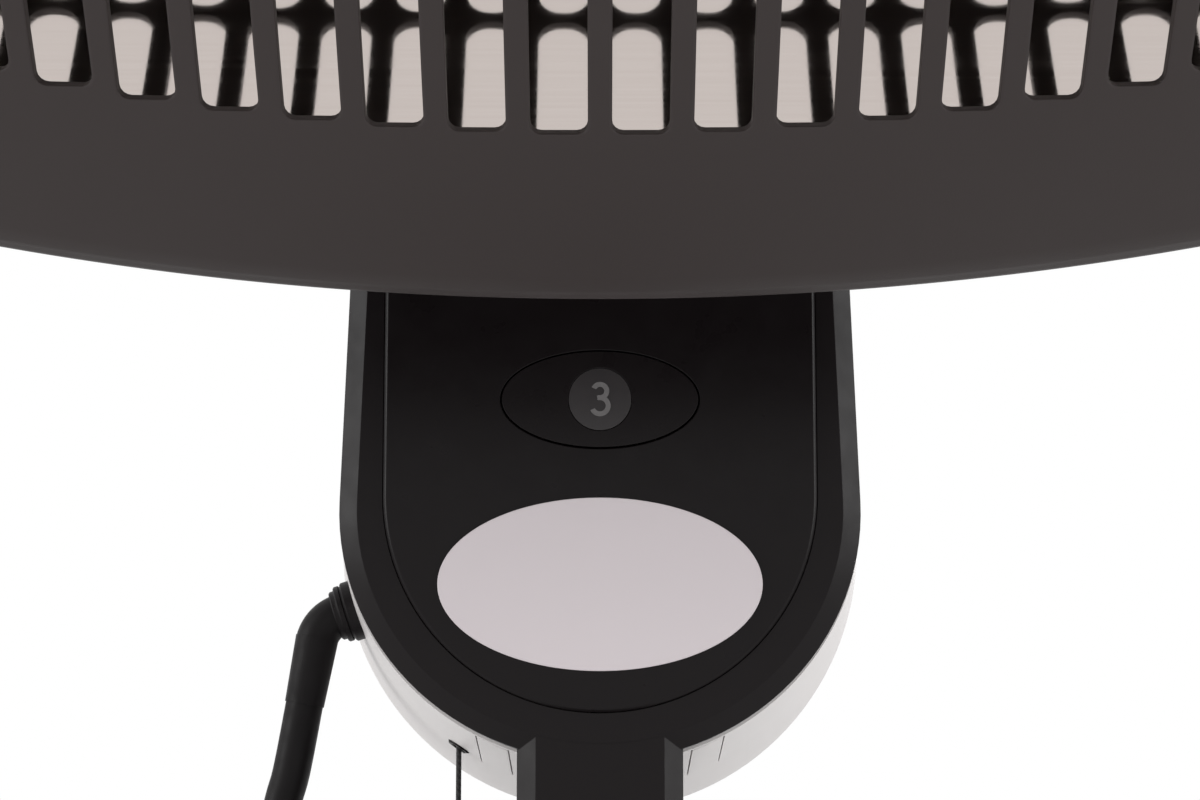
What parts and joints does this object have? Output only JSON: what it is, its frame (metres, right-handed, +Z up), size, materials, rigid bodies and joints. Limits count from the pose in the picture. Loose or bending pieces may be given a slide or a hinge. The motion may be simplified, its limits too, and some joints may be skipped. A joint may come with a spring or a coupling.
{
  "type": "patio heater",
  "caption": "Electric tabletop patio heater with a wide oval slotted head on a tilt hinge, a control box with push-button and pull cord, and a round weighted base.",
  "frame": {"origin": "centre of the footprint's box on the table, under the feet, without the free lead", "axes": "+Z up along the pole, the face of the head and the control box look towards -Y, +X to the right seen from the front is the pictured view's right"},
  "size_m": [0.4764, 0.4641, 0.9229],
  "materials": {
    "guard_paint": "aluminium casting under satin dark grey-brown stove paint",
    "shell_paint": "aluminium casting under satin dark grey stove paint",
    "frame_paint": "satin black powder paint",
    "polished_aluminium": "polished and anodised reflector sheet",
    "quartz_glass": "satin quartz tube",
    "lamp_wire": "oxidised heating wire",
    "ceramic": "white steatite",
    "zinc_steel": "zinc plated steel",
    "nickel_brass": "nickel plated brass pins",
    "chrome_ring": "bright chrome",
    "cast_clamp": "plain casting",
    "cast_weight": "dull black casting",
    "dark_plastic": "fine grained black plastic",
    "cover_plastic": "half gloss black plastic",
    "panel_plastic": "smooth black plastic",
    "button_plastic": "smooth black plastic",
    "lens_plastic": "smoked display disc",
    "digit_grey": "grey printed numeral",
    "label_white": "blank off-white plate",
    "silver_plastic": "silver lacquered plastic",
    "ivory_plastic": "ivory plastic",
    "board_green": "coated circuit board",
    "relay_blue": "relay case",
    "black_rubber": "dull rubber",
    "lead_rubber": "smooth rubber sheath",
    "black_cord": "twisted and woven black polyester"
  },
  "bodies": {
    "root": {"tilt_fork": "frame_paint", "fork_bolts": "zinc_steel", "hinge_bolt": "zinc_steel", "hinge_washers": "black_rubber", "front_cover": "cover_plastic", "face_panel": "panel_plastic", "label_plate": "label_white", "circuit_board": "board_green", "board_relays": "relay_blue", "tact_switch": "dark_plastic", "rear_housing": "silver_plastic", "screw_covers": "silver_plastic", "housing_screws": "zinc_steel", "chassis": "zinc_steel", "pole_clamp": "cast_clamp", "terminal_block": "ceramic", "switch_case": "ivory_plastic", "cord_eyelet": "dark_plastic", "tip_switch_case": "ivory_plastic", "upper_pole": "frame_paint", "lower_pole": "frame_paint", "pole_joint": "chrome_ring", "base_socket": "frame_paint", "socket_screws": "zinc_steel", "base_cover": "frame_paint", "base_weight": "cast_weight", "base_feet": "black_rubber", "base_bolt": "zinc_steel", "pole_nut": "zinc_steel", "cable_gland": "dark_plastic", "strain_relief": "lead_rubber", "power_cable": "lead_rubber", "cable_coil": "lead_rubber", "cable_tie": "black_cord", "plug_body": "lead_rubber", "plug_pins": "nickel_brass"},
    "head": {"front_guard": "guard_paint", "head_shell": "shell_paint", "reflector": "polished_aluminium", "lamp_tubes": "quartz_glass", "lamp_coils": "lamp_wire", "lamp_ends": "ceramic", "lamp_brackets": "zinc_steel", "guard_screws": "zinc_steel", "thermal_cutout": "dark_plastic", "head_terminal": "ceramic", "tilt_arm": "frame_paint", "arm_bolts": "zinc_steel"},
    "knob": {"tilt_knob": "dark_plastic"},
    "button": {"level_button": "button_plastic", "button_lens": "lens_plastic", "digit": "digit_grey"},
    "pull": {"pull_rod": "zinc_steel", "pull_cord": "black_cord", "pull_knob": "dark_plastic"},
    "drum": {"switch_drum": "ivory_plastic"},
    "pendulum": {"tip_pendulum": "zinc_steel"}
  },
  "joints": [
    {"name": "head_tilt", "type": "hinge", "parent": "root", "child": "head", "pos_m": [0, -0.03041, 0.8584], "axis": [1, 0, 0], "range_deg": [-30, 15]},
    {"name": "knob_turn", "type": "hinge", "parent": "root", "child": "knob", "pos_m": [0, -0.03041, 0.8584], "axis": [1, 0, 0], "range_deg": [0, 180]},
    {"name": "button_press", "type": "slide", "parent": "root", "child": "button", "axis": [0, 1, 0], "range_m": [0, 0.0012], "stiffness_N_per_m": 900, "springref_m": -0.0004},
    {"name": "pull_slide", "type": "slide", "parent": "root", "child": "pull", "axis": [0, 0, -1], "range_m": [0, 0.01], "stiffness_N_per_m": 200, "springref_m": -0.005},
    {"name": "drum_turn", "type": "hinge", "parent": "root", "child": "drum", "pos_m": [-0.022, 0.02473, 0.672], "axis": [0, -1, 0], "range_deg": [0, 72]},
    {"name": "tip_swing", "type": "hinge", "parent": "root", "child": "pendulum", "pos_m": [0.02, 0.03073, 0.76], "axis": [0, 1, 0], "range_deg": [-24, 24]}
  ],
  "couplings": [
    {"joint": "drum_turn", "follows": "pull_slide", "rad_per_m": 125}
  ]
}
